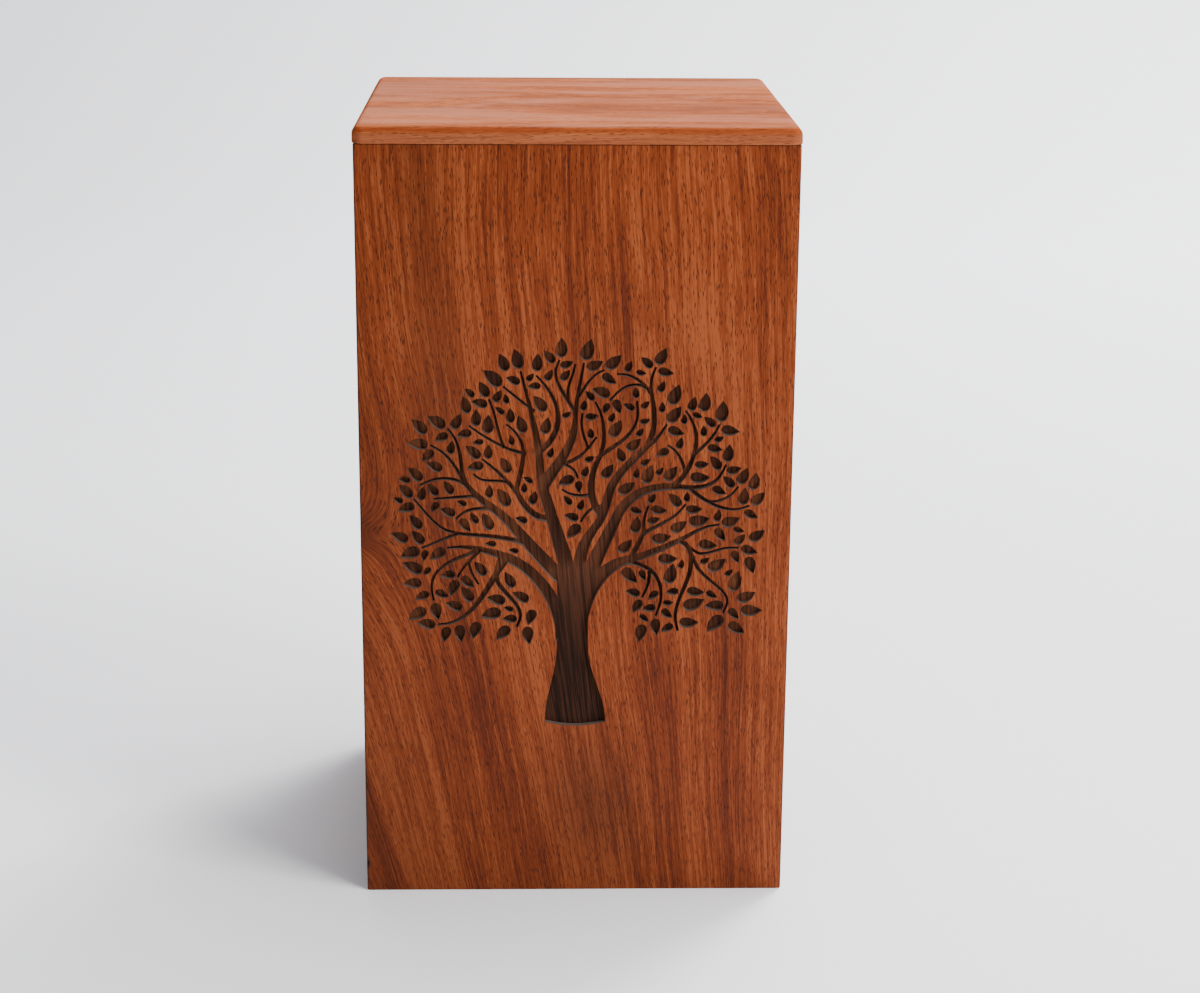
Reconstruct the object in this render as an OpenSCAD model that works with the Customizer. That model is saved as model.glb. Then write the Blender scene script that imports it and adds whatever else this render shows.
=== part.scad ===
// Cremation urn box: six boards. Four walls stand round a base board, a rebated lid drops into
// the top, and a tree is engraved and burnt into the front board.
// The origin is the middle of the underside, the front faces -Y and Z is up. Millimetres.

/* [Box] */
// Width of the box, left to right
box_w = 152; // [130:1:180]
// Depth of the box, front to back
box_d = 152; // [110:1:220]
// Height of the box with its lid on
box_h = 280; // [250:1:340]
// Thickness of the four wall boards
wall_t = 12; // [8:0.5:18]
// Thickness of the base board
base_t = 12; // [6:0.5:18]
// Radius of the eased upright edges of the box
edge_ease = 0.8; // [0.3:0.1:2]

/* [Lid] */
// Thickness of the lid's rim above the walls
lid_t = 6; // [4.5:0.5:12]
// How far the lid stands out past the walls
lid_over = 0.5; // [0:0.1:3]
// Radius of the rounding along the lid's top edge
lid_round = 3; // [1:0.25:3.5]
// Radius of the lid's upright corners
lid_corner = 4; // [3.5:0.25:10]
// Depth of the locating step under the lid
step_h = 6; // [3:0.5:12]
// Clearance between the locating step and the walls
step_gap = 0.5; // [0.2:0.1:1.5]

/* [Engraving] */
// Depth that the tree is cut into the front board
carve_depth = 1.8; // [0.8:0.1:3]
// Plain wood left between the tree and each side of the board
side_margin = 8; // [6:0.5:20]
// Height of the foot of the trunk above the underside
tree_foot = 66; // [30:1:72]
// Longest leaf
leaf_max = 8; // [6:0.1:10]
// Shortest leaf
leaf_min = 3.4; // [2.4:0.1:4]
// Width of a leaf as a share of its length
leaf_plump = 0.57; // [0.45:0.01:0.65]
// Wood left between one leaf and the next cut
land = 0.65; // [0.6:0.05:1.4]

/* [Hidden] */
$fn = 64;
FRONT_WOOD = "#9a4c28";
SIDE_WOOD = "#8c4526";
LID_WOOD = "#b5694a";
inside_w = box_w - 2 * wall_t;
inside_d = box_d - 2 * wall_t;
wall_h = box_h - lid_t;
over = 1; // a cutting solid stands this far out of the face that it cuts

// The limbs of the tree as drawn, in millimetres from the foot of the trunk. Each row is one curve:
// [start, direction it leaves in, end, direction it arrives in, width at start, width at end, fullness].
// A limb starts inside the one that bears it. Fullness 1 is the plain curve, and more makes it bow out.
LIMBS = [
    // lower left limb, its twigs and its two hanging branches
    [[-4.5, 32], 92, [-24.5, 62], 158, 5, 3.4, 1],
    [[-24.5, 62], 158, [-45.5, 65.5], 190, 3.2, 0.6, 1],
    [[-34, 65], 203, [-50.5, 46], 284, 1.4, 0.6, 1.5],
    [[-34.5, 64], 222, [-42, 54.5], 245, 1.3, 0.6, 1],
    [[-38, 61], 275, [-34.5, 52], 305, 1, 0.6, 1],
    [[-24.5, 62], 236, [-49, 37], 180, 2.6, 0.6, 1.1],
    [[-27.5, 60], 240, [-21, 36], 235, 2, 0.8, 1.4],
    // upper left limb
    [[-3, 52.5], 137, [-23.5, 75], 130, 5.4, 3.6, 1],
    [[-23.5, 75], 132, [-40, 93], 97, 3.5, 1.4, 1],
    [[-40, 93], 95, [-45, 109], 138, 1.3, 0.6, 1],
    [[-19, 67.5], 160, [-42.5, 71], 172, 1.8, 1.2, 1],
    [[-42.5, 71], 172, [-57, 83.5], 130, 1.1, 0.6, 1],
    [[-42.5, 70.5], 200, [-54.5, 65.5], 202, 1.1, 0.6, 1],
    [[-28, 79.5], 168, [-42.5, 76], 234, 1.5, 0.6, 1.1],
    [[-34.5, 84.5], 180, [-50, 83.5], 184, 1.3, 0.6, 1],
    [[-38.5, 88.5], 142, [-55, 88.5], 210, 1.3, 0.6, 1.1],
    [[-40, 90.5], 112, [-51, 103], 158, 1.2, 0.6, 1],
    // left leader and the branch that swings out from it
    [[-1.5, 46], 92, [-8.5, 76.5], 106, 6.5, 4.2, 1],
    [[-8.5, 76.5], 104, [-12.5, 92.5], 96, 4, 3.4, 1],
    [[-9, 76], 180, [-21, 86.5], 112, 2.6, 1.8, 1.1],
    [[-21, 86.5], 80, [-18.5, 101], 90, 1.7, 1.2, 1],
    [[-18.5, 101], 95, [-24.5, 110.5], 148, 1.1, 0.6, 1],
    [[-21, 86], 125, [-33, 98], 142, 1.7, 0.6, 1],
    [[-23.5, 89.5], 160, [-36, 92.5], 122, 1.1, 0.6, 1],
    [[-18.5, 100], 166, [-37.5, 110], 143, 1.3, 0.6, 1],
    [[-25.5, 102.5], 112, [-30.5, 119.5], 115, 1.1, 0.6, 1],
    [[-12.5, 92], 92, [-19.5, 129.5], 104, 2.9, 0.6, 1.1],
    [[-13, 100.5], 40, [-14, 128], 134, 2.3, 0.6, 1.4],
    [[-15, 115.5], 142, [-25.5, 124], 140, 1.2, 0.6, 1],
    // middle leader
    [[-11, 89.5], 55, [-0.5, 112], 90, 4.4, 1.8, 1],
    [[-0.5, 112], 88, [2.5, 132.5], 80, 1.7, 0.6, 1],
    [[-0.5, 115], 120, [-6, 133.5], 55, 1.4, 0.6, 1.1],
    [[-3, 119.5], 98, [-0.5, 132], 80, 1, 0.6, 1.2],
    [[1, 121], 58, [9.5, 130], 20, 1, 0.6, 1.1],
    [[-6, 96], 8, [7, 106], 58, 1.6, 0.6, 1.1],
    [[4, 102], 108, [2, 114.5], 80, 1, 0.6, 1.2],
    [[-5, 96], 5, [0.5, 91], 278, 1.2, 0.6, 1.1],
    // right leader and the branch that climbs inside it
    [[0.5, 48], 88, [6, 72], 50, 6, 3, 1],
    [[6, 72], 50, [11, 84], 78, 2.8, 3.3, 1],
    [[11, 84], 78, [25.5, 103.5], 46, 3.1, 2, 1],
    [[25, 103.5], 60, [26, 121.5], 102, 2, 1.3, 1],
    [[26, 121.5], 102, [27.5, 131], 62, 1.2, 0.6, 1],
    [[24.5, 102.5], 30, [31.5, 110.5], 55, 1.5, 0.6, 1.2],
    [[25.5, 122], 118, [14, 128.5], 188, 1.2, 0.6, 1],
    [[25, 123.5], 150, [11.5, 119], 234, 1.1, 0.6, 1.3],
    [[9, 77], 130, [8.5, 99.5], 60, 2.8, 1.6, 1.1],
    [[8.5, 99.5], 72, [6.5, 118.5], 122, 1.5, 0.6, 1],
    [[8, 99], 36, [21, 119], 100, 1.5, 0.6, 1.4],
    [[5, 85], 190, [-5, 87], 138, 1.1, 0.6, 1],
    [[8.5, 81], 180, [1.5, 75], 240, 1.2, 0.6, 1.1],
    // upper right limb
    [[1.5, 42], 84, [13, 74], 64, 7, 3.8, 1],
    [[13, 74], 70, [35.5, 88], -2, 3.6, 2.4, 1.3],
    [[33.5, 88], 32, [42, 104], 84, 1.9, 1.3, 1],
    [[42, 104], 88, [38, 115.5], 128, 1.2, 0.6, 1],
    [[41, 99.5], 42, [50, 110.5], 66, 1.3, 0.6, 1.1],
    [[38, 93], 95, [32, 103], 155, 1.2, 0.6, 1],
    [[34.5, 88], -6, [52.5, 96], 72, 2.2, 0.6, 1.4],
    [[39.5, 87.5], -40, [61, 81], 28, 1.6, 0.6, 1.1],
    [[46.5, 82.5], -8, [57, 88], 62, 1, 0.6, 1],
    // lower right limb, its twigs and its hanging branches
    [[0, 34], 86, [18, 61], 14, 8, 3.2, 1],
    [[18, 61], 12, [38, 69], 25, 3, 1.6, 1],
    [[38, 69], 32, [50.5, 74], 0, 1.5, 0.6, 1],
    [[19.5, 61.5], 70, [24, 72], 75, 2, 1.3, 1],
    [[24, 71.5], 100, [25.5, 81], 66, 1.1, 0.6, 1],
    [[24, 71], 32, [38.5, 81.5], 60, 1.5, 0.6, 1],
    [[17, 60.5], -2, [28.5, 40], 246, 1.8, 0.6, 1.5],
    [[26, 56.5], 278, [23.5, 47], 240, 1.2, 0.6, 1],
    [[36.5, 68], -8, [41, 61], 270, 1.9, 1.6, 1.1],
    [[41, 61], 268, [36.5, 34.5], 290, 1.5, 0.8, 1.2],
    [[40.5, 65], -50, [57.5, 65.5], -14, 1.3, 0.6, 1.1],
    [[41, 62.5], 286, [52.5, 41], 236, 1.4, 0.6, 1.4],
];

// The trunk is all but straight above and flares to its foot. The middle of the foot hangs
// foot_sag below its corners.
trunk_h = 56;
trunk_left = 6.6;
trunk_right = 4.3;
flare_h = 29;
flare_left = 4.3;
flare_right = 6.4;
foot_sag = 1.5;
trunk_steps = 16; // straight stretches up each edge of the trunk
foot_steps = 8; // straight stretches along its foot
limb_step = 4; // length of one straight stretch along a limb
least_steps = 4; // a limb has at least this many
limb_end = 0.98; // a limb's direction at its tip is taken at this share of its length
limb_tuck = 0.04; // a limb's outline starts this share of its length early, in what bears it

// The leaves stand round the limbs, between crown_foot and crown_top and out to drawn_w / 2, and
// point away from the middle of the crown.
drawn_w = 136;
crown_foot = 37;
crown_top = 132;
crown_mid = [0, 52];
crown_edge = 7; // the foot of a leaf stays this far inside drawn_w / 2
thick = 4; // a limb this wide at its start bears no side leaves
twig = 0.8; // a limb no wider than this at its end bears leaves on its tip
leafless = 1.8; // no leaf fills the bare wood beside a limb of more than this half width
tip_leaf = [6, 4.8]; // least lengths aimed for at a limb's tip: ahead, to each side
tip_turn = [10, 55]; // angle from the limb to the leaf ahead, and to the leaf on each side
tip_back = 0.9; // the side leaves of a tip start beside this share of the limb
tip_gap = 1.3; // and this far from its middle
tip_off = 80; // at this angle from it
tip_sway = 60; // scatter of the leaf ahead about its direction
tip_short = 0.85; // the longest side leaf of a tip, as a share of leaf_max
side_leaf = [4.4, 8]; // lengths aimed for along a limb
side_pitch = 6; // distance between the leaves along a limb
side_stagger = 0.25; // shift along the limb, in side_pitch: forward on one side, back on the other
side_turn = 50; // angle between a side leaf and its limb
side_out = 0.25; // share of the direction away from crown_mid in a side leaf's direction
side_gap = 0.2; // a side leaf starts this much further than land from its limb
fill_pitch = 2.9; // grid on which a leaf is tried in the bare wood
fill_shake = 0.8; // the scatter of the grid's places, as a share of fill_pitch
fill_reach = 5.4; // the bare wood counts as the tree's within this distance of a limb
fill_turn = [70, 50]; // such a leaf's scatter about its direction, and how far it may turn
big_leaf = 6; // the bare wood is first filled with leaves at least this long
small_turn = 18; // a leaf at a tip or along a limb may turn this far to find room

function heading(a) = [cos(a), sin(a)];
function angle_of(v) = atan2(v.y, v.x);
// A fixed scatter between -0.5 and 0.5 for each place and key. The angles and the amplitude only
// have to be large, so that neighbouring places don't follow each other.
SCATTER_ANGLES = [3571, 2311, 997];
SCATTER_HEIGHT = 437;
function scatter(p, key) =
    let (s = SCATTER_HEIGHT * sin([p.x, p.y, key] * SCATTER_ANGLES))
    s - floor(s) - 0.5;
function between(lo, hi, p, key) = lo + (hi - lo) * (0.5 + scatter(p, key));

// A point at share t of a limb: a cubic through both ends, in the stated directions
function limb_point(l, t) =
    let (pull = l[6] * norm(l[2] - l[0]))
    (1 + 2 * t) * pow(1 - t, 2) * l[0] + t * pow(1 - t, 2) * pull * heading(l[1])
    + t * t * (3 - 2 * t) * l[2] - t * t * (1 - t) * pull * heading(l[3]);
function limb_heading(l, t, dt = 0.01) = angle_of(limb_point(l, t + dt) - limb_point(l, t - dt));
function limb_half(l, t) = (l[4] + (l[5] - l[4]) * t) / 2;
function limb_side(l, t, out) = limb_point(l, t) + out * heading(limb_heading(l, t) + 90);
function limb_steps(l) = max(least_steps, round(norm(l[2] - l[0]) / limb_step));
function limb_outline(l) =
    let (n = limb_steps(l), shares = [-limb_tuck, for (i = [1:n]) i / n])
    concat([for (t = shares) limb_side(l, t, limb_half(l, t))],
           [for (i = [n:-1:0]) limb_side(l, shares[i], -limb_half(l, shares[i]))]);

function flare(z) = z > flare_h ? 0 : pow(cos(90 * z / flare_h), 2);
function foot_z(x) = foot_sag * (pow(x / (trunk_left + flare_left), 2) - 1);
function trunk_outline() =
    let (xl = trunk_left + flare_left, xr = trunk_right + flare_right,
         rise = [for (i = [1:trunk_steps]) trunk_h * i / trunk_steps])
    concat([for (z = rise) [-trunk_left - flare_left * flare(z), z]],
           [for (i = [trunk_steps - 1:-1:0]) [trunk_right + flare_right * flare(rise[i]), rise[i]]],
           [for (i = [0:foot_steps]) let (x = xr - (xr + xl) * i / foot_steps) [x, foot_z(x)]]);

// A leaf is [foot, direction, length]. It is round at the foot and pointed at the tip, fuller on one
// side than on the other. While the leaves are being placed, discs stand for its outline:
// [share of the length, radius over the length].
LEAF_DISCS = [[0.3, 0.3], [0.55, 0.26], [0.78, 0.16], [0.97, 0.03]];
leaf_points = 5; // along each side
leaf_lean = 0.1; // how much fuller one side is, as a power
function leaf_discs(f) = [for (d = LEAF_DISCS) concat(f[0] + d[0] * f[2] * heading(f[1]), d[1] * f[2])];
// Half width at share s of the length, as a share of the greatest, which is where s is about 0.36
function leaf_half(s, lean) = sqrt(s) * pow(1 - s, 0.9 + lean) / 0.4;
function leaf_edge(f, lean, order) =
    [for (i = order) let (s = pow(i / leaf_points, 1.5))
        f[2] * [s, sign(lean) * leaf_plump / 2 * leaf_half(s, lean)]];
function leaf_outline(f) =
    let (lean = scatter(f[0], 9) > 0 ? leaf_lean : -leaf_lean)
    concat(leaf_edge(f, lean, [0:leaf_points]), leaf_edge(f, -lean, [leaf_points - 1:-1:1]));

// The longest leaf from a foot in a direction. Each of the leaf's discs grows with it until it comes
// within land of another disc, which is a quadratic in the leaf's length.
function room(foot, a, discs) = min([for (n = discs)
    let (w = [n.x, n.y] - foot, keep = n.z + land, c = w * w - keep * keep)
    if (c < 0) 0
    else each [for (d = LEAF_DISCS)
        let (qa = d[0] * d[0] - d[1] * d[1], qb = d[0] * (w * heading(a)) + d[1] * keep,
             q = qb * qb - qa * c)
        if (q > 0 && qb > 0) c / (qb + sqrt(q)) else leaf_max]]);
// The discs close enough to a place to limit a leaf there, or in a row as wide as stated
look_out = 1.3 * leaf_max;
function near(p, discs, side = look_out) =
    [for (d = discs) if (abs(d.x - p.x) < side && abs(d.y - p.y) < look_out) d];

// Leaves grow one after another. A bud is [foot, direction, how far it may turn, longest, shortest],
// and it grows in the roomiest of three directions, or not at all.
function grow(buds, limbs, leaves = []) =
    grow_on(buds, concat(limbs, [for (f = leaves) each leaf_discs(f)]), leaves, 0);
function grow_on(buds, discs, leaves, i) =
    i == len(buds) ? leaves
    : let (b = buds[i], close = near(b[0], discs),
           turns = [b[1], b[1] + b[2], b[1] - b[2]],
           rooms = [for (a = turns) min(b[3], room(b[0], a, close))],
           k = rooms[0] >= max(rooms) ? 0 : rooms[1] > rooms[2] ? 1 : 2,
           leaf = [b[0], turns[k], rooms[k]])
      rooms[k] < b[4] ? grow_on(buds, discs, leaves, i + 1)
      : grow_on(buds, concat(discs, leaf_discs(leaf)), concat(leaves, [leaf]), i + 1);

function outward(p) = angle_of(p - crown_mid);
function leaning(a, p, share) = angle_of((1 - share) * heading(a) + share * heading(outward(p)));

// Buds at the tips of the twigs: one ahead and one on each side, a little further back
function tip_buds() = [for (l = LIMBS) if (l[5] <= twig)
    let (p = l[2], a = limb_heading(l, limb_end), back = limb_point(l, tip_back))
    each concat(
        [[p + heading(a + tip_turn[0]), a + tip_sway * scatter(p, 1), small_turn,
          between(tip_leaf[0], leaf_max, p, 2), leaf_min]],
        [for (s = [1, -1])
            [back + tip_gap * heading(a + tip_off * s), a + tip_turn[1] * s, small_turn,
             between(tip_leaf[1], tip_short * leaf_max, p, 3 + s), leaf_min]])];

// Buds along both sides of the limbs, not quite opposite each other
function side_buds() = [for (l = LIMBS) if (l[4] < thick)
    let (n = round(norm(l[2] - l[0]) / side_pitch))
    for (i = [n - 1:-1:1], s = [1, -1])
        let (t = (i + side_stagger * s) / n, p = limb_point(l, t), a = limb_heading(l, t))
        [limb_side(l, t, s * (limb_half(l, t) + land + side_gap)), leaning(a + side_turn * s, p, side_out),
         small_turn, between(side_leaf[0], side_leaf[1], p, 3), side_leaf[0]]];

// Buds in the bare wood between the limbs, on a grid that is shaken up
function fill_buds(limbs, short, long) =
    let (side = drawn_w / 2 - crown_edge)
    [for (z = [crown_foot:fill_pitch:crown_top])
        let (row = near([0, z], limbs, drawn_w))
        for (x = [-side:fill_pitch:side])
            let (p = [x, z] + fill_shake * fill_pitch * [scatter([x, z], 1), scatter([x, z], 2)],
                 gaps = [for (n = near(p, row)) [norm(p - [n.x, n.y]) - n.z, n.z]],
                 gap = min([leaf_max, for (g = gaps) g[0]]),
                 beside = max([0, for (g = gaps) if (g[0] == gap) g[1]]))
            if (gap > land && gap < fill_reach && beside < leafless)
                [p, outward(p) + fill_turn[0] * scatter(p, 5), fill_turn[1],
                 between(short, long, p, 6), short]];

// Discs that stand for the limbs and the trunk while the leaves are being placed
disc_pitch = 1.9;
function limb_discs() = concat(
    [for (l = LIMBS) let (n = ceil(norm(l[2] - l[0]) / disc_pitch))
        for (i = [0:n]) concat(limb_point(l, i / n), limb_half(l, i / n))],
    [for (z = [disc_pitch:disc_pitch:trunk_h])
        [(trunk_right - trunk_left) / 2, z, (trunk_right + trunk_left) / 2]]);

// The tips come first, then the largest leaves that fit, those along the limbs, and the rest
function tree_leaves() =
    let (limbs = limb_discs(),
         tips = grow(tip_buds(), limbs),
         big = grow(fill_buds(limbs, big_leaf, leaf_max), limbs, tips),
         sides = grow(side_buds(), limbs, big))
    grow(fill_buds(limbs, leaf_min, side_leaf[0]), limbs, sides);

module tree() {
    polygon(trunk_outline());
    for (l = LIMBS) polygon(limb_outline(l));
    for (f = tree_leaves()) translate(f[0]) rotate(f[1]) polygon(leaf_outline(f));
}

// A quarter disc in the first quadrant
module quarter(r) {
    intersection() {
        circle(r);
        square(r);
    }
}

// A wall board in plan, from its outer face at y = 0 inwards, with its two outer corners eased
module eased_plan(w) {
    translate([-w / 2, edge_ease]) square([w, wall_t - edge_ease]);
    translate([edge_ease - w / 2, 0]) square([w - 2 * edge_ease, edge_ease]);
    for (s = [1, -1]) translate([s * (w / 2 - edge_ease), edge_ease])
        mirror([s < 0 ? 1 : 0, 0]) mirror([0, 1]) quarter(edge_ease);
}

// The front and back boards run the full width and cover the ends of the sides
module end_board() {
    translate([0, -box_d / 2]) linear_extrude(wall_h) eased_plan(box_w);
}

module front_board() {
    color(FRONT_WOOD) difference() {
        end_board();
        translate([0, carve_depth - box_d / 2, tree_foot]) rotate([90, 0, 0])
            linear_extrude(carve_depth + over) scale((box_w - 2 * side_margin) / drawn_w) tree();
    }
}

module back_board() {
    color(FRONT_WOOD) rotate(180) end_board();
}

module side_board(s) {
    color(SIDE_WOOD) translate([s * (box_w - wall_t) / 2 - wall_t / 2, -inside_d / 2])
        cube([wall_t, inside_d, wall_h]);
}

module left_side() {
    side_board(-1);
}

module right_side() {
    side_board(1);
}

module base_board() {
    color(SIDE_WOOD) translate([-inside_w / 2, -inside_d / 2]) cube([inside_w, inside_d, base_t]);
}

// Section through the lid's rim: out from a corner's centre, with its top edge rounded
module rim_section() {
    square([lid_corner - lid_round, lid_t]);
    translate([lid_corner - lid_round, 0]) square([lid_round, lid_t - lid_round]);
    translate([lid_corner - lid_round, lid_t - lid_round]) quarter(lid_round);
}

module lid() {
    core = [box_w + 2 * (lid_over - lid_corner), box_d + 2 * (lid_over - lid_corner)];
    step = [inside_w, inside_d] - 2 * [step_gap, step_gap];
    color(LID_WOOD) translate([0, 0, wall_h]) {
        translate(-core / 2) cube([core.x, core.y, lid_t]);
        for (turn = [0:3]) rotate(90 * turn) {
            run = turn % 2 == 0 ? core : [core.y, core.x];
            translate([run.x / 2, run.y / 2]) rotate([90, 0, 0]) linear_extrude(run.y) rim_section();
            translate([run.x / 2, run.y / 2]) rotate_extrude(angle = 90) rim_section();
        }
        translate([-step.x / 2, -step.y / 2, -step_h]) cube([step.x, step.y, step_h]);
    }
}

front_board();
back_board();
left_side();
right_side();
base_board();
lid();
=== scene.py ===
import math
from itertools import chain

import bmesh
import bpy
import numpy as np
from mathutils import Matrix, Vector
from mathutils.geometry import delaunay_2d_cdt


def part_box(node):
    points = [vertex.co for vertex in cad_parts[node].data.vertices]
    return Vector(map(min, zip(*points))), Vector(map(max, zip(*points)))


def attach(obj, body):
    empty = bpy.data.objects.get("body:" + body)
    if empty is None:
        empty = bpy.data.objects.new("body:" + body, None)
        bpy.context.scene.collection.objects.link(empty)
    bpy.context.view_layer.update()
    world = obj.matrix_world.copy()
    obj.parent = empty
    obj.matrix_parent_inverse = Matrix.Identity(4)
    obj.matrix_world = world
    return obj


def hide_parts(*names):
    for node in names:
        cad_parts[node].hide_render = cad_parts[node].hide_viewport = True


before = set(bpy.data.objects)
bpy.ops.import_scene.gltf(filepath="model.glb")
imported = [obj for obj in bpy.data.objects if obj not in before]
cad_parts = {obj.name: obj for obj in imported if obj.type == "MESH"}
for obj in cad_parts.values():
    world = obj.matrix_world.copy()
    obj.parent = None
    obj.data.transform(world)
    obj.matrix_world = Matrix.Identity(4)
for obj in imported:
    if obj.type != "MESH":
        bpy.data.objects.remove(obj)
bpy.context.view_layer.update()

# ---------------------------------------------------------------------------------------------
# Camera. It stands in front of the urn at about a metre, a little above the lid, and looks
# slightly down at it, so that the front and the top of the lid show.
CAMERA_AT = (-0.0152, -0.9044, 0.3876)
CAMERA_YAW, CAMERA_PITCH, CAMERA_ROLL = math.radians(1.63), math.radians(15.97), math.radians(0.43)
FOCAL_LENGTH, FILM_WIDTH = 73.56, 36  # millimetres

view = bpy.data.cameras.new("camera")
view.sensor_width = FILM_WIDTH
view.lens = FOCAL_LENGTH
view.clip_start = 0.01
camera = bpy.data.objects.new("camera", view)
bpy.context.collection.objects.link(camera)
ahead = Vector((math.sin(CAMERA_YAW) * math.cos(CAMERA_PITCH),
                math.cos(CAMERA_YAW) * math.cos(CAMERA_PITCH),
                -math.sin(CAMERA_PITCH)))
level = Vector((math.cos(CAMERA_YAW), -math.sin(CAMERA_YAW), 0))
above = level.cross(ahead)
right = level * math.cos(CAMERA_ROLL) + above * math.sin(CAMERA_ROLL)
upward = above * math.cos(CAMERA_ROLL) - level * math.sin(CAMERA_ROLL)
turn = Matrix((right, upward, -ahead)).transposed().to_4x4()
camera.matrix_world = Matrix.Translation(CAMERA_AT) @ turn
bpy.context.scene.camera = camera

# ---------------------------------------------------------------------------------------------
# Surroundings. A plain pale sweep of paper, floor and wall in one, in a pale room. A large soft
# lamp stands high at the front right, a weak one at the front left and one hangs overhead, so the
# shadow falls softly to the left, and a fourth behind the urn lights the paper there.
SWEEP_HALF = 6
SWEEP_NEAR, SWEEP_FAR, SWEEP_TOP = -6, 1.25, 3
SWEEP_BEND = 0.5


def cells(rows, columns, here, beside):
    """The faces between each row of points and the next. A face has four corners: a point here,
    the one beside it, and the same two points one row up."""
    row = np.arange(rows - 1)[:, None] * columns
    return np.stack([row + here, row + beside, row + columns + beside, row + columns + here], -1)


def grid_mesh(name, points):
    """A mesh over an open grid of points, rows by columns."""
    rows, columns = points.shape[:2]
    here = np.arange(columns - 1)
    faces = cells(rows, columns, here, here + 1)
    mesh = bpy.data.meshes.new(name)
    mesh.from_pydata(points.reshape(-1, 3), [], faces.reshape(-1, 4).tolist())
    return mesh


def put(name, mesh):
    """An object at the origin that shows a mesh."""
    thing = bpy.data.objects.new(name, mesh)
    bpy.context.collection.objects.link(thing)
    return thing


class Value:
    """A number that varies over a surface: a shader socket that takes part in sums."""

    def __init__(self, tree, socket):
        self.tree, self.socket = tree, socket

    def _math(self, operation, first, second):
        node = self.tree.nodes.new("ShaderNodeMath")
        node.operation = operation
        for place, number in enumerate((first, second)):
            if isinstance(number, Value):
                self.tree.links.new(number.socket, node.inputs[place])
            else:
                node.inputs[place].default_value = number
        return Value(self.tree, node.outputs[0])

    def __add__(self, other):
        return self._math("ADD", self, other)

    def __radd__(self, other):
        return self._math("ADD", other, self)

    def __sub__(self, other):
        return self._math("SUBTRACT", self, other)

    def __rsub__(self, other):
        return self._math("SUBTRACT", other, self)

    def __mul__(self, other):
        return self._math("MULTIPLY", self, other)

    def __rmul__(self, other):
        return self._math("MULTIPLY", other, self)

    def __truediv__(self, other):
        return self._math("DIVIDE", self, other)

    def __rtruediv__(self, other):
        return self._math("DIVIDE", other, self)

    def step(self, low, high):
        """0 below low, 1 above high, and a smooth rise between them; high may be the lower."""
        node = self.tree.nodes.new("ShaderNodeMapRange")
        node.interpolation_type = "SMOOTHSTEP"
        node.inputs["From Min"].default_value = min(low, high)
        node.inputs["From Max"].default_value = max(low, high)
        node.inputs["To Min"].default_value = 0 if low < high else 1
        node.inputs["To Max"].default_value = 1 if low < high else 0
        self.tree.links.new(self.socket, node.inputs["Value"])
        return Value(self.tree, node.outputs[0])

    def hump(self, middle, width):
        """A bell of height 1 round middle, which falls to 0.37 at width from it."""
        off = (self - middle) / width
        return self._math("POWER", math.e, 0 - off * off)


class Finish:
    """A material that is being mixed: its node tree and its one shader."""

    def __init__(self, name, **settings):
        self.material = bpy.data.materials.new(name)
        self.material.use_nodes = True
        self.tree = self.material.node_tree
        self.shader = self.tree.nodes["Principled BSDF"]
        for socket, number in settings.items():
            self.shader.inputs[socket.replace("_", " ")].default_value = number

    def node(self, kind, settings=(), output=0, **sockets):
        """Adds a node, sets its settings, fills its sockets with numbers or links, and returns
        the chosen output. A socket's name has _ for each space, and _6 means socket number 6."""
        node = self.tree.nodes.new("ShaderNode" + kind)
        for name, setting in dict(settings).items():
            setattr(node, name, setting)
        for name, given in sockets.items():
            target = node.inputs[int(name[1:]) if name[0] == "_" else name.replace("_", " ")]
            if isinstance(given, Value):
                self.tree.links.new(given.socket, target)
            else:
                target.default_value = given
        return Value(self.tree, node.outputs[output])

    def mix(self, share, first, second):
        """The colour first with a share of second in it."""
        return self.node("Mix", {"data_type": "RGBA"}, 2, _0=share, _6=first, _7=second)

    def wear(self, **sockets):
        """Links varying values to the shader."""
        for name, value in sockets.items():
            self.tree.links.new(value.socket, self.shader.inputs[name.replace("_", " ")])


def sweep_points():
    """Floor, bend and wall as one profile in Y and Z, a quarter circle between two straights,
    carried along X."""
    bend = np.linspace(0, math.pi / 2, 24)
    y = np.concatenate([[SWEEP_NEAR], SWEEP_FAR + SWEEP_BEND * np.sin(bend), [SWEEP_FAR + SWEEP_BEND]])
    z = np.concatenate([[0], SWEEP_BEND * (1 - np.cos(bend)), [SWEEP_TOP]])
    x = np.linspace(-SWEEP_HALF, SWEEP_HALF, 3)
    y, x = np.meshgrid(y, x, indexing="ij")
    return np.stack([x, y, np.broadcast_to(z[:, None], x.shape)], -1)


paper = Finish("paper", Base_Color=(0.91, 0.92, 0.95, 1), Roughness=0.9)
sweep = put("sweep", grid_mesh("sweep", sweep_points()))
sweep.data.shade_smooth()
sweep.data.materials.append(paper.material)


def lamp(name, at, aim, size, watts, colour):
    """A square soft lamp at a place, turned towards a point."""
    light = bpy.data.lights.new(name, "AREA")
    light.size, light.energy, light.color = size, watts, colour
    holder = bpy.data.objects.new(name, light)
    bpy.context.collection.objects.link(holder)
    holder.location = at
    holder.rotation_euler = (Vector(aim) - Vector(at)).to_track_quat("-Z", "Y").to_euler()


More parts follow.
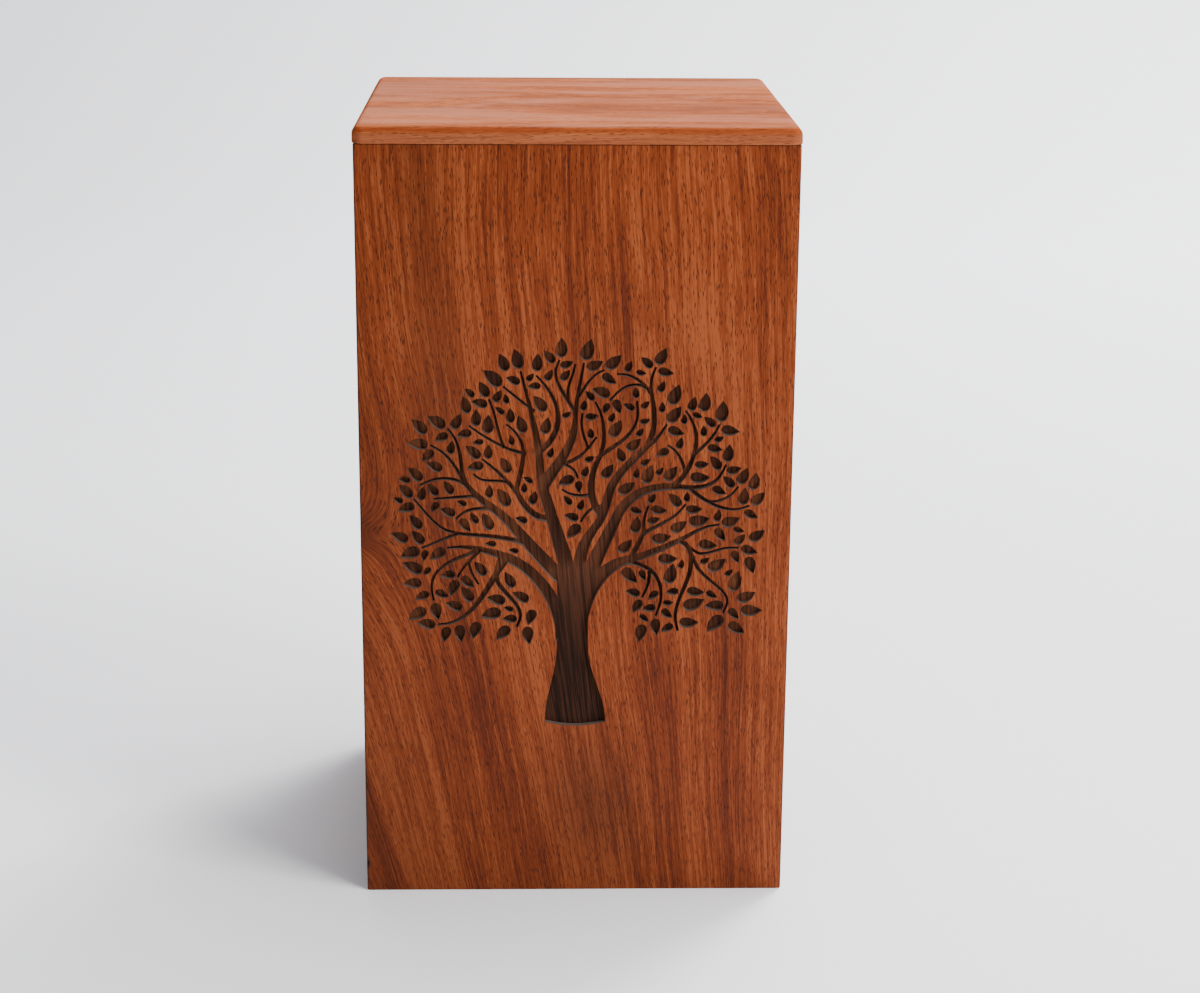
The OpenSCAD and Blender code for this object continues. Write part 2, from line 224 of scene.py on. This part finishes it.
MIDDLE = (0, 0, 0.14)
lamp("key", (1.15, -0.85, 1.2), MIDDLE, 0.8, 38, (1, 0.985, 0.96))
lamp("fill", (-1.2, -1.4, 0.9), MIDDLE, 1.4, 4, (0.95, 0.97, 1))
lamp("over", (0.35, 0.15, 1.7), MIDDLE, 1.0, 28, (1, 1, 1))
lamp("backdrop", (1.0, 1.3, 1.5), (0.35, 0.95, 0), 0.8, 60, (1, 1, 1))
room = bpy.data.worlds.new("room")
room.use_nodes = True
glow = room.node_tree.nodes["Background"].inputs
glow["Color"].default_value = (0.93, 0.95, 1, 1)
glow["Strength"].default_value = 0.26
bpy.context.scene.world = room

# ---------------------------------------------------------------------------------------------
# Front board. One rosewood board, 12 mm thick, with its outer edges eased by hand. A tree is
# routed into it to one depth and burnt dark, which leaves the floor ridged along the grain.
MM = 0.001
EASE = 0.3 * MM          # small rounding where the boards meet
EASE_STEPS = 4           # points on it
FRONT_ROUND = 0.8 * MM   # larger one down the upright corners of the box
CHIP_Z = 11 * MM         # height of a small bruise in the left edge near the foot
CHIP_SIZE = 0.9 * MM
CHIP_DEPTH = 0.7 * MM
BURR = 0.12 * MM         # how far the lip of a cut reaches into the face
RIDGE = 0.09 * MM        # height of the burnt ridges on the floor of the cut
FLOOR_PITCH = 0.75 * MM  # distance between the floor's own points
FLOOR_MARGIN = 0.4 * MM  # what they keep from the floor's outline
ONE_POINT = 0.0001 * MM  # points closer than this are one to a triangulation
TINY = 1e-12             # keeps a length off zero where it divides

# The wall of a cut, from the lip to the floor: how far it stands out into the wood, its share of
# the depth, and how burnt it is (0 bare wood, 0.5 wall, 1 floor).
CUT_PROFILE = [(BURR, 0, 0), (0.04 * MM, 0.03, 0.4), (0, 0.12, 0.5), (-0.06 * MM, 0.85, 0.5),
               (-0.16 * MM, 0.97, 0.8), (-0.2 * MM, 1, 1)]


def carried_outline(low, high, radii, profile, arc=6, least=0.05 * MM):
    """The surface of a board. Its plan is a rectangle with a quarter circle at each corner, and
    every row of points is that plan drawn in by the profile's inset and raised to its height.
    Corners run front left, front right, back right, back left, and stay at least a little round."""
    profile = np.array(profile)
    side = np.array([[-1, -1], [1, -1], [1, 1], [-1, 1]])
    start = np.radians([180, 270, 0, 90])
    angle = start[:, None] + np.linspace(0, math.pi / 2, arc)
    ray = np.stack([np.cos(angle), np.sin(angle)], -1)
    half = (np.array(high[:2]) - low[:2]) / 2
    middle = (np.array(high[:2]) + low[:2]) / 2
    inset = profile[:, 0][:, None, None, None]
    radius = np.maximum(np.array(radii)[None, :, None, None] - inset, least)
    plan = middle + side[None, :, None] * (half - inset - radius) + radius * ray[None]
    height = np.broadcast_to(profile[:, 1][:, None, None, None], plan.shape[:3] + (1,))
    return np.concatenate([plan, height], -1).reshape(len(profile), -1, 3)


def eased_profile(low, high):
    """A board's height as (inset, height): up one straight edge, with a quarter circle at each end."""
    angle = np.linspace(0, math.pi / 2, EASE_STEPS)
    inset, rise = EASE * (1 - np.sin(angle)), EASE * (1 - np.cos(angle))
    return list(zip(inset, low + rise)) + list(zip(inset[::-1], high - rise[::-1]))


def closed_board(name, points, left_out=None):
    """A mesh over the rows of a board's surface with its bottom and top closed, without the
    faces that are left out, given as a mask of rows by columns."""
    rows, columns = points.shape[:2]
    here = np.arange(columns)
    faces = cells(rows, columns, here, (here + 1) % columns)
    kept = faces[~left_out] if left_out is not None else faces.reshape(-1, 4)
    ends = [list(range(columns))[::-1], list(range((rows - 1) * columns, rows * columns))]
    mesh = bpy.data.meshes.new(name)
    mesh.from_pydata(points.reshape(-1, 3), [], kept.tolist() + ends)
    return mesh


def cut_outline(node, inner_share=0.95, level=0.01 * MM):
    """The outline of the engraving on the board's solid: the open edges of the cut's flat floor.
    The floor's depth is the median of the points inside the board, give or take level.
    Returns its points in X and Z, for each point the next and the one before, and the depth."""
    mesh = node.data
    place = np.empty(len(mesh.vertices) * 3, np.float32)
    mesh.vertices.foreach_get("co", place)
    corner = np.empty(len(mesh.loops), np.int32)
    mesh.loops.foreach_get("vertex_index", corner)
    place, same = np.unique(np.round(place.reshape(-1, 3), 6), axis=0, return_inverse=True)
    corner = same.reshape(-1)[corner].reshape(-1, 3)
    low, high = place.min(0), place.max(0)
    inner = np.abs(place[:, 0]) < inner_share * high[0]
    inner &= (place[:, 1] > low[1]) & (place[:, 1] < high[1])
    depth = np.median(place[inner, 1]) - low[1]
    on_floor = np.abs(place[:, 1] - low[1] - depth) < level
    floor = corner[on_floor[corner].all(1)]
    edge = np.concatenate([floor[:, [0, 1]], floor[:, [1, 2]], floor[:, [2, 0]]])
    key = edge[:, 0] * len(place) + edge[:, 1]
    edge = edge[~np.isin(key, edge[:, 1] * len(place) + edge[:, 0])]
    edge = edge[np.argsort(edge[:, 0])]
    ahead = np.searchsorted(edge[:, 0], edge[:, 1])
    behind = np.empty_like(ahead)
    behind[ahead] = np.arange(len(ahead))
    return place[edge[:, 0]][:, [0, 2]], ahead, behind, depth


def thinned(points, ahead, behind, least=0.06 * MM, rounds=4):
    """The outline without its shortest stretches: of two points closer than the least distance,
    the first is left out."""
    for _ in range(rounds):
        short = np.linalg.norm(points[ahead] - points, axis=1) < least
        kept = ~(short & ~short[behind])
        ahead = np.where(kept[ahead], ahead, ahead[ahead])
        number = np.cumsum(kept) - 1
        points, ahead = points[kept], number[ahead[kept]]
        behind = np.empty_like(ahead)
        behind[ahead] = np.arange(len(ahead))
    return points, ahead, behind


def turning(points, ahead, behind):
    """The angle by which an outline turns at each of its points."""
    into, out = points - points[behind], points[ahead] - points
    cross = into[:, 0] * out[:, 1] - into[:, 1] * out[:, 0]
    return np.arctan2(cross, (into * out).sum(1))


def crossing(points, edges):
    """Which of the edges cross, touch or fold onto another: the ones a triangulation splits."""
    spots = [Vector(point) for point in points.tolist()]
    found = delaunay_2d_cdt(spots, edges.tolist(), [], 0, ONE_POINT, True)
    pieces = np.bincount(np.fromiter(chain.from_iterable(found[4]), int), minlength=len(edges))
    return pieces != 1


def rounded(points, ahead, behind, sharp=math.radians(70)):
    """The outline with a point added on every stretch, on the cubic through its four neighbours.
    A corner sharper than the limit stays a corner, and a stretch that would cross another stays
    straight."""
    corner = np.abs(turning(points, ahead, behind)) > sharp
    step = points[ahead] - points
    before = np.where(corner[:, None], points - step, points[behind])
    after = np.where(corner[ahead][:, None], points[ahead] + step, points[ahead[ahead]])
    middle = (9 * (points + points[ahead]) - before - after) / 16
    count = len(points)
    here = np.arange(count)
    new_ahead = np.concatenate([here + count, ahead])
    new_behind = np.empty(2 * count, int)
    new_behind[new_ahead] = np.arange(2 * count)
    edges = np.stack([np.arange(2 * count), new_ahead], 1)
    touched = np.unique(edges[crossing(np.concatenate([points, middle]), edges)])
    straight = touched[touched >= count] - count
    middle[straight] = (points[straight] + points[ahead[straight]]) / 2
    return np.concatenate([points, middle]), new_ahead, new_behind


def pushed(points, ahead, behind, out, longest=1.8):
    """The outline moved into the wood by out, each point along the middle of its two edges'
    normals, and further where the outline turns, as a mitre is, up to the longest mitre."""
    step = points[ahead] - points
    step /= np.linalg.norm(step, axis=1)[:, None] + TINY
    normal = np.stack([step[:, 1], -step[:, 0]], 1)
    both = normal + normal[behind]
    length = np.linalg.norm(both, axis=1)[:, None] + TINY
    return points + out * both / length * np.minimum(2 / length, longest)


def give(points, ahead, behind, pushes, tries=9):
    """The share of a push that each point can take. It is 1, and is halved round every place where
    the pushed outline would cross itself, until it doesn't."""
    share = np.ones((len(points), 1))
    edges = np.stack([np.arange(len(points)), ahead], 1)
    for out in pushes:
        for _ in range(tries):
            bad = crossing(pushed(points, ahead, behind, out * share), edges)
            near = bad | bad[behind]
            near = near | near[behind] | near[ahead]
            share[near] /= 2
            if not bad.any():
                break
    return share


def within(points, start, end, batch=2000):
    """Whether each point is inside the outline: a ray along X crosses it an odd number of times."""
    inside = []
    across, climb = (end - start).T
    slope = across / np.where(climb == 0, 1, climb)
    for part in np.array_split(points, max(1, len(points) // batch)):
        x, z = part[:, 0][:, None], part[:, 1][:, None]
        spans = (start[:, 1] > z) != (end[:, 1] > z)
        inside.append((spans & (x < start[:, 0] + slope * (z - start[:, 1]))).sum(1) % 2 == 1)
    return np.concatenate(inside)


def filled(points, edges):
    """Triangles over points in X and Z that keep the given edges. Returns points and faces, the
    faces turned to look out of the front."""
    spots = [Vector(point) for point in points.tolist()]
    found = delaunay_2d_cdt(spots, edges.tolist(), [], 1, ONE_POINT, False)
    place = np.array([tuple(point) for point in found[0]])
    face = np.array(found[2])
    a, b, c = (place[face[:, corner]] for corner in range(3))
    backward = (b - a)[:, 0] * (c - a)[:, 1] - (b - a)[:, 1] * (c - a)[:, 0] < 0
    face[backward] = face[backward][:, ::-1]
    return place, face


def ridges(points):
    """Height of the burnt floor: two sine waves across the grain, about 3 and 1.7 mm long, whose
    phases waver as they rise. The grain leans by one in twenty and bends by 0.8 mm."""
    x, z = points[:, 0] / MM, points[:, 1] / MM
    u = x + 0.05 * z + 0.8 * np.sin(z / 17)
    wave = np.sin(u * 2.1 + 1.5 * np.sin(z / 9)) + 0.6 * np.sin(u * 3.7 + 2 + np.sin(z / 5))
    return RIDGE * wave / 1.6


# the board, with rows of points at the bruise, which is a bell up the left edge and round it
low, high = (np.array(corner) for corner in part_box("front_board"))
profile = eased_profile(low[2], high[2])
chip_rows = [(0, CHIP_Z + CHIP_SIZE * step) for step in np.linspace(-2, 2, 9)]
profile = profile[:EASE_STEPS] + chip_rows + profile[EASE_STEPS:]
surface = carried_outline(low, high, (FRONT_ROUND, FRONT_ROUND, EASE, EASE), profile)
ARC = surface.shape[1] // 4
bite = CHIP_DEPTH * np.exp(-((surface[:, :ARC, 2] - CHIP_Z) / CHIP_SIZE) ** 2)
bite = bite * np.sin(np.linspace(0, math.pi, ARC)) ** 0.7
surface[:, :ARC, :2] += bite[..., None] / math.sqrt(2)

# the flat of the face is left out of the board, and cut to the outline of the tree
flat_rows = np.flatnonzero(np.array(profile)[:, 0] < TINY)
left_out = np.zeros((len(profile) - 1, 4 * ARC), bool)
left_out[flat_rows[:-1], ARC - 1] = True
body = closed_board("front_board_body", surface, left_out)

# the cut's wall, as one ring of points for each row of its profile, from the lip to the floor
outline, ahead_of, behind_of, cut_depth = cut_outline(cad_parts["front_board"])
outline, ahead_of, behind_of = rounded(*thinned(outline, ahead_of, behind_of))
share = give(outline, ahead_of, behind_of, [CUT_PROFILE[0][0], CUT_PROFILE[-1][0]])
rings = [pushed(outline, ahead_of, behind_of, out * share) for out, _, _ in CUT_PROFILE]
count = len(outline)
here = np.arange(count)
ring_edges = np.stack([here, ahead_of], 1)

# the flat face, from the board's own edges to the lip, without what lies inside the cut
rim = np.concatenate([surface[flat_rows, ARC - 1], surface[flat_rows[::-1], ARC]])[:, [0, 2]]
rim_edges = np.stack([np.arange(len(rim)), (np.arange(len(rim)) + 1) % len(rim)], 1)
lip_edges = ring_edges + len(rim)
face_place, face_tris = filled(np.concatenate([rim, rings[0]]), np.concatenate([rim_edges, lip_edges]))
middle = face_place[face_tris].mean(1)
face_tris = face_tris[~within(middle, rings[0], rings[0][ahead_of])]

# the floor, with staggered points of its own that carry the ridges
spans = [np.arange(start, end, FLOOR_PITCH) for start, end in zip(outline.min(0), outline.max(0))]
grid = np.stack(np.meshgrid(*spans), -1)
grid[1::2, :, 0] += FLOOR_PITCH / 2
grid = grid.reshape(-1, 2)
margin = pushed(outline, ahead_of, behind_of, -FLOOR_MARGIN)
grid = grid[within(grid, margin, margin[ahead_of])]
floor_place, floor_tris = filled(np.concatenate([rings[-1], grid]), ring_edges)
middle = floor_place[floor_tris].mean(1)
floor_tris = floor_tris[within(middle, rings[-1], rings[-1][ahead_of])]
lift = np.zeros(len(floor_place))
lift[count:] = ridges(floor_place[count:])

# all of it as one mesh, with how burnt each point is as an attribute
wall_y = [np.full(count, low[1] + part * cut_depth) for _, part, _ in CUT_PROFILE]
walls = np.concatenate([np.stack([ring[:, 0], y, ring[:, 1]], 1) for ring, y in zip(rings, wall_y)])
wall_burn = np.concatenate([np.full(count, burn) for _, _, burn in CUT_PROFILE])
wall_faces = cells(len(CUT_PROFILE), count, here, ahead_of).reshape(-1, 4)
face_points = np.stack([face_place[:, 0], np.full(len(face_place), low[1]), face_place[:, 1]], 1)
floor_points = np.stack([floor_place[:, 0], low[1] + cut_depth - lift, floor_place[:, 1]], 1)
body_points = np.empty(len(body.vertices) * 3)
body.vertices.foreach_get("co", body_points)
body_faces = [list(polygon.vertices) for polygon in body.polygons]
parts = [body_points.reshape(-1, 3), face_points, walls, floor_points]
first = np.cumsum([0] + [len(part) for part in parts])
faces = (body_faces + (face_tris + first[1]).tolist() + (wall_faces + first[2]).tolist()
         + (floor_tris + first[3]).tolist())
burn = np.concatenate([np.zeros(first[2]), wall_burn, np.ones(len(floor_points))])
mesh = bpy.data.meshes.new("engraved_front")
mesh.from_pydata(np.concatenate(parts), [], faces)
mesh.attributes.new("burnt", "FLOAT", "POINT").data.foreach_set("value", burn.astype(np.float32))
bpy.data.meshes.remove(body)


def joined_up(mesh, near=0.5e-6, sharp=math.radians(24)):
    """Merges the points that coincide, and shades smooth except across sharp edges."""
    work = bmesh.new()
    work.from_mesh(mesh)
    bmesh.ops.remove_doubles(work, verts=work.verts, dist=near)
    work.to_mesh(mesh)
    work.free()
    mesh.shade_smooth()
    mesh.set_sharp_from_angle(angle=sharp)


joined_up(mesh)
front = put("engraved_front", mesh)


# where things are on the front, in millimetres from the middle of the foot: across, then up
KNOT, SWIRL, UNDER_TRUNK, BRUISE = (-77, 137), (-80, 128), (6, 34), (-76, CHIP_Z / MM)
TRUNK_HALF, TRUNK_TOP = 22, 124
DARKEST = (0.022, 0.006, 0.003, 1)  # veins and pores


class Rosewood(Finish):
    """Oiled rosewood. The grain runs along local Z after the board's own turn, in millimetres:
    across is the distance across it, which the board's lean, swirls and knots bend."""

    def __init__(self, name, turn=(0, 0, 0), shift=(0, 0, 0), **settings):
        super().__init__(name, **settings)
        place = self.node("TexCoord", output=3)
        scaled = self.node("Mapping", Vector=place, Location=shift, Rotation=turn, Scale=(1 / MM,) * 3)
        self.across = self.node("SeparateXYZ", output=0, Vector=scaled)
        self.deep = self.node("SeparateXYZ", output=1, Vector=scaled)
        self.along = self.node("SeparateXYZ", output=2, Vector=scaled)

    def noise(self, wide, deep, long, detail=2.0, roughness=0.5, offset=0.0):
        """Noise whose blotches are so many millimetres wide, deep and long, from 0 to 1."""
        where = self.node("CombineXYZ", X=self.across / wide + offset, Y=self.deep / deep,
                          Z=self.along / long)
        return self.node("TexNoise", Vector=where, Scale=1, Detail=detail, Roughness=roughness)

    def grain(self, pale, mid, dark, contrast=1.5):
        """Colour of the planed surface. Broad bands, a cross figure, streaks, hairs and fibres add
        up to its tone, which runs from dark over mid to pale. Veins and pores are darker still."""
        bands = self.noise(15, 30, 300, 2, offset=3)
        figure = self.noise(24, 40, 45, 2, offset=11)
        streaks = self.noise(1.9, 7, 130, 3, 0.6, offset=5)
        hairs = self.noise(0.55, 3, 26, 2, 0.6, offset=13)
        fibre = self.noise(0.42, 1.4, 5, 2, 0.75, offset=7)
        tone = (bands - 0.5) * 0.75 + (figure - 0.5) * 0.35 + (streaks - 0.5) * 0.8
        tone = tone + (hairs - 0.5) * 0.8 + (fibre - 0.5) * 0.75
        tone = tone * contrast
        colour = self.mix((0 - tone).step(-0.02, 0.42), self.mix(tone.step(0, 0.36), mid, pale), dark)
        vein = self.noise(1.1, 6, 190, 2, 0.5, offset=19).step(0.6, 0.72) * bands.step(0.6, 0.4)
        colour = self.mix(vein * 0.5, colour, DARKEST)
        self.pore, self.fibre, self.tone = self.pores(), fibre, tone
        return self.mix(self.pore * 0.85, colour, DARKEST)

    def pores(self, wide=0.46, long=3.0):
        """Short dark open pores: the middles of cells that are drawn out along the grain, of
        which about half are left out."""
        where = self.node("CombineXYZ", X=self.across / wide, Y=self.deep / wide, Z=self.along / long)
        near = self.node("TexVoronoi", {"feature": "F1"}, 0, Vector=where, Scale=1, Randomness=1)
        which = self.node("TexVoronoi", {"feature": "F1"}, 1, Vector=where, Scale=1, Randomness=1)
        chosen = self.node("SeparateColor", output=0, Color=which)
        return near.step(0.46, 0.2) * chosen.step(0.35, 0.75)

    def relief(self, height):
        """A bump from a height in millimetres."""
        return self.node("Bump", Strength=0.9, Distance=MM, Height=height)


def spot(across, along, at, size):
    """A bell in both directions, 1 at its place and so many millimetres wide and long."""
    return across.hump(at[0], size[0]) * along.hump(at[1], size[1])


def front_finish():
    """The front's rosewood: the grain leans to the left as it rises, most at the lower left, and
    swirls round a knot at the left edge. The cut is burnt to a dark skin that shows its fibres."""
    wood = Rosewood("front_wood", Specular_IOR_Level=0.07)
    x, z = wood.across, wood.along
    drift = wood.node("TexNoise", Vector=wood.node("CombineXYZ", X=x / 45, Y=0.3, Z=z / 110),
                      Scale=1, Detail=1.0)

    # it leans by a third at the lower left, less to the right and upwards, wanders by up to 5.5 mm,
    # and is carried aside by 9 mm at the swirl and 7 mm at the knot
    rise = z - 145 - (z - 20) * (z - 20) * 0.0017
    knot = spot(x, z, KNOT, (11, 8))
    swirl = spot(x, z, SWIRL, (24, 26))
    wood.across = x + (0.2 - x * 0.0022) * rise + (drift - 0.5) * 11 + swirl * 9 + knot * 7
    pale, mid, dark = (0.31, 0.074, 0.022, 1), (0.205, 0.040, 0.0105, 1), (0.105, 0.0185, 0.0065, 1)
    colour = wood.grain(pale, mid, dark)

    # darker down a band at the upper left, round the knot, under the trunk, and to the lower left
    band = (x + (z - 200) * 0.1).hump(-48, 10) * z.step(120, 190)
    under = spot(x + (z - 40) * 0.12, z, UNDER_TRUNK, (17, 27))
    under = under * (0.5 + wood.tone.step(0.25, -0.25) * 0.35)
    lower = z.step(130, 0) * 0.12 + x.step(-25, -76) * z.step(270, 150) * 0.2
    colour = wood.mix(band * 0.35 + knot * 0.5 + under + lower, colour, (0.06, 0.014, 0.005, 1))

    # the burnt floor: fibres from soot to ember, darkest on the trunk; on the leaves and branches
    # the ember is painted lighter, as painted light where their narrow cuts lie in shade
    burnt = wood.node("Attribute", {"attribute_name": "burnt"}, 2)
    floor = burnt.step(0.55, 0.95)
    stripes = wood.noise(0.7, 3, 26, 3, 0.65, offset=29)
    scorch = wood.noise(22, 20, 30, 1, offset=37)
    ember_and_painted_light = wood.mix(scorch.step(0.35, 0.7), (0.080, 0.026, 0.012, 1), (0.165, 0.052, 0.022, 1))
    trunk = x.step(-TRUNK_HALF, -6) * x.step(TRUNK_HALF, 6) * z.step(TRUNK_TOP, 98)
    ember_and_painted_light = wood.mix(trunk * 0.7, ember_and_painted_light, (0.020, 0.0078, 0.0045, 1))
    soot = wood.mix(trunk, (0.026, 0.0105, 0.0062, 1), (0.008, 0.0038, 0.0026, 1))
    char = wood.mix((stripes - trunk * 0.03).step(0.32, 0.64), soot, ember_and_painted_light)

    # the wall of the cut, near black from burning and painted shade where it looks down or aside,
    # and pale grey as painted light where it looks up; and the eased edges, darker halfway round the
    # upright corners and where they look up
    normal = wood.node("NewGeometry", output=1)
    facing = wood.node("SeparateXYZ", output=2, Vector=normal)
    # painted light and shade on the wall: pale where it looks up, near black where it looks down
    rim = wood.mix(facing.step(-0.1, 0.7), (0.022, 0.011, 0.007, 1), (0.085, 0.062, 0.052, 1))
    aside = wood.node("SeparateXYZ", output=0, Vector=normal)
    # darker halfway round the upright corners and on the eased edges that look up
    eased_edge_darkening = (aside * aside).hump(0.4, 0.3) * 0.75 + facing.step(0.15, 0.6) * 0.8
    bruise = spot(x, z, BRUISE, (1.2, 1.8))
    colour = wood.mix(eased_edge_darkening + bruise, colour, (0.022, 0.008, 0.005, 1))
    colour = wood.mix(burnt.step(0.05, 0.35), colour, rim)
    colour = wood.mix(floor, colour, char)
    rough = 0.40 + wood.pore * 0.2 - wood.tone * 0.08 + burnt * 0.28
    height = 0 - wood.pore * (1 - burnt) * 0.05 + wood.fibre * 0.012 + floor * stripes * 0.1
    wood.wear(Base_Color=colour, Roughness=rough, Normal=wood.relief(height))
    return wood.material


front.data.materials.append(front_finish())
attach(front, "root")
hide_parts("front_board")

# ---------------------------------------------------------------------------------------------
# The other boards. The back is the front's twin without the tree, the two sides stand between
# them, and the base lies inside all four. All are planed, sanded and oiled, and glued edge to edge.


def plain_finish(name, pale, mid, dark, lean, turn, shift, sheen=0.08):
    """Rosewood with its grain straight but for a slow drift and a slight lean."""
    wood = Rosewood(name, turn, shift, Specular_IOR_Level=sheen)
    x, z = wood.across, wood.along
    drift = wood.node("TexNoise", Vector=wood.node("CombineXYZ", X=x / 50, Y=wood.deep / 50, Z=z / 120),
                      Scale=1, Detail=1.0)
    wood.across = x + z * lean + (drift - 0.5) * 14
    wood.colour = wood.grain(pale, mid, dark)
    rough = 0.40 + wood.pore * 0.2 - wood.tone * 0.08
    bump = wood.relief(wood.fibre * 0.012 - wood.pore * 0.05)
    wood.wear(Base_Color=wood.colour, Roughness=rough, Normal=bump)
    return wood


def board(node, radii, finish):
    """A board with eased edges in place of its plain solid."""
    low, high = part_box(node)
    surface = carried_outline(low, high, radii, eased_profile(low[2], high[2]))
    mesh = closed_board(node + "_planed", surface)
    joined_up(mesh)
    piece = put(node + "_planed", mesh)
    piece.data.materials.append(finish)
    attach(piece, "root")
    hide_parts(node)


PALE, MID, DARK = (0.30, 0.070, 0.021, 1), (0.195, 0.038, 0.0105, 1), (0.100, 0.0175, 0.0065, 1)
UPRIGHT, SIDEWAYS, LYING = (0, 0, 0), (0, 0, math.pi / 2), (0, math.pi / 2, 0)  # turns of the grain
OUTER_CORNERS = (EASE, EASE, FRONT_ROUND, FRONT_ROUND)
# each board's corners, its grain's lean and turn, and where in the plank it was sawn from
for node, radii, slot, lean, turn, sawn_from in [
        ("back_board", OUTER_CORNERS, "body_wood", 0.05, UPRIGHT, (210, 40, 30)),
        ("left_side", (EASE,) * 4, "body_wood", -0.06, SIDEWAYS, (90, 15, 410)),
        ("right_side", (EASE,) * 4, "body_wood", 0.04, SIDEWAYS, (330, 70, 150)),
        ("base_board", (EASE,) * 4, "base_wood", 0.02, LYING, (20, 90, 60))]:
    wood = plain_finish(node.split("_")[0] + "_wood", PALE, MID, DARK, lean, turn, sawn_from)
    board(node, radii, wood.material)

# ---------------------------------------------------------------------------------------------
# Lid. One board with its top edge rounded over and its corners softened in plan. A rebate all
# round leaves a step under it that drops inside the walls. The grain runs left to right.
LID_CORNER = 4 * MM   # in plan
LID_ROUND = 3 * MM    # of its top edge
STEP_GAP = 0.5 * MM   # between the step and the walls

# from the underside of the step out to the walls' tops, up the edge and over it
low, high = (np.array(corner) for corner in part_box("lid"))
wall_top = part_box("front_board")[1][2]
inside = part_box("base_board")[1][0]
step_inset = high[0] - inside + STEP_GAP
angle = np.linspace(0, math.pi / 2, 9)
lid_profile = [(step_inset + EASE, low[2]), (step_inset, low[2] + EASE), (step_inset, wall_top)]
lid_profile += [(2 * EASE, wall_top), (0.6 * EASE, wall_top + 0.3 * EASE), (0, wall_top + EASE)]
lid_profile += [(LID_ROUND * (1 - math.cos(a)), high[2] - LID_ROUND * (1 - math.sin(a))) for a in angle]
lid_mesh = closed_board("lid_board", carried_outline(low, high, (LID_CORNER,) * 4, lid_profile, arc=10))
joined_up(lid_mesh)
lid = put("lid_board", lid_mesh)
LID_PALE, LID_MID, LID_DARK = (0.40, 0.117, 0.038, 1), (0.29, 0.070, 0.019, 1), (0.16, 0.034, 0.010, 1)
lid_wood = plain_finish("lid_wood", LID_PALE, LID_MID, LID_DARK, 0.03, LYING, (500, 100, 0), sheen=0)

# by how far the surface looks up, from 0 to 1: the straight edge is paler and the round over it
# deeper red, and the top carries a painted sheen, paler in streaks along the grain
PALE_EDGE, DEEP_RED, PAINTED_SHEEN = (0.27, 0.094, 0.050, 1), (0.20, 0.036, 0.011, 1), (0.35, 0.142, 0.092, 1)
looks_up = lid_wood.node("SeparateXYZ", output=2, Vector=lid_wood.node("NewGeometry", output=1))
edge = lid_wood.mix(looks_up.step(0.3, 0.1) * 0.4, lid_wood.colour, PALE_EDGE)
edge = lid_wood.mix(looks_up.hump(0.58, 0.26) * 0.75, edge, DEEP_RED)
streaks = lid_wood.noise(3.4, 20, 260, 3, 0.6, offset=41)
# painted sheen: how much paler the top is painted, in streaks
painted_sheen_share = looks_up.step(0.8, 0.995) * (0.26 + streaks.step(0.40, 0.62) * 0.46)
lid_wood.wear(Base_Color=lid_wood.mix(painted_sheen_share, edge, PAINTED_SHEEN))
lid.data.materials.append(lid_wood.material)
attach(lid, "root")
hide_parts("lid")
